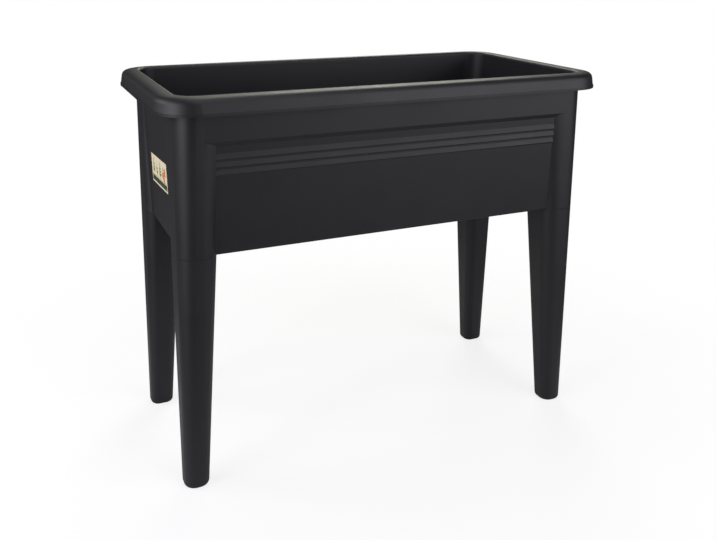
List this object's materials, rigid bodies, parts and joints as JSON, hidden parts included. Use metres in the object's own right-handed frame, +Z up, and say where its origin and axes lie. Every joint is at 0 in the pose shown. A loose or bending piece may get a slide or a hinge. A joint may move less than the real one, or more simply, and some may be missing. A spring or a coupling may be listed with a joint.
{
  "type": "grow table",
  "caption": "Raised rectangular planting trough with a flared rim and stepped front panel on tapered plug-in legs, with a drain plug under its floor.",
  "frame": {"origin": "on the ground, under the middle of the table", "axes": "+X along the trough, -Y towards its front, +Z up"},
  "size_m": [0.77, 0.402, 0.65],
  "materials": {
    "black_polypropylene": "fine moulded grain, satin",
    "grey_polyethylene": "smooth, satin",
    "seal_rubber": "matte",
    "printed_film": "printed self-adhesive film"
  },
  "bodies": {
    "table": {"trough": "black_polypropylene", "front_left_leg": "black_polypropylene", "front_right_leg": "black_polypropylene", "rear_left_leg": "black_polypropylene", "rear_right_leg": "black_polypropylene", "label": "printed_film"},
    "plug": {"drain_plug": "grey_polyethylene", "plug_seal": "seal_rubber"}
  },
  "joints": [
    {"name": "drain_plug_pull", "type": "slide", "parent": "table", "child": "plug", "axis": [0, 0, -1], "range_m": [0, 0.05]}
  ]
}
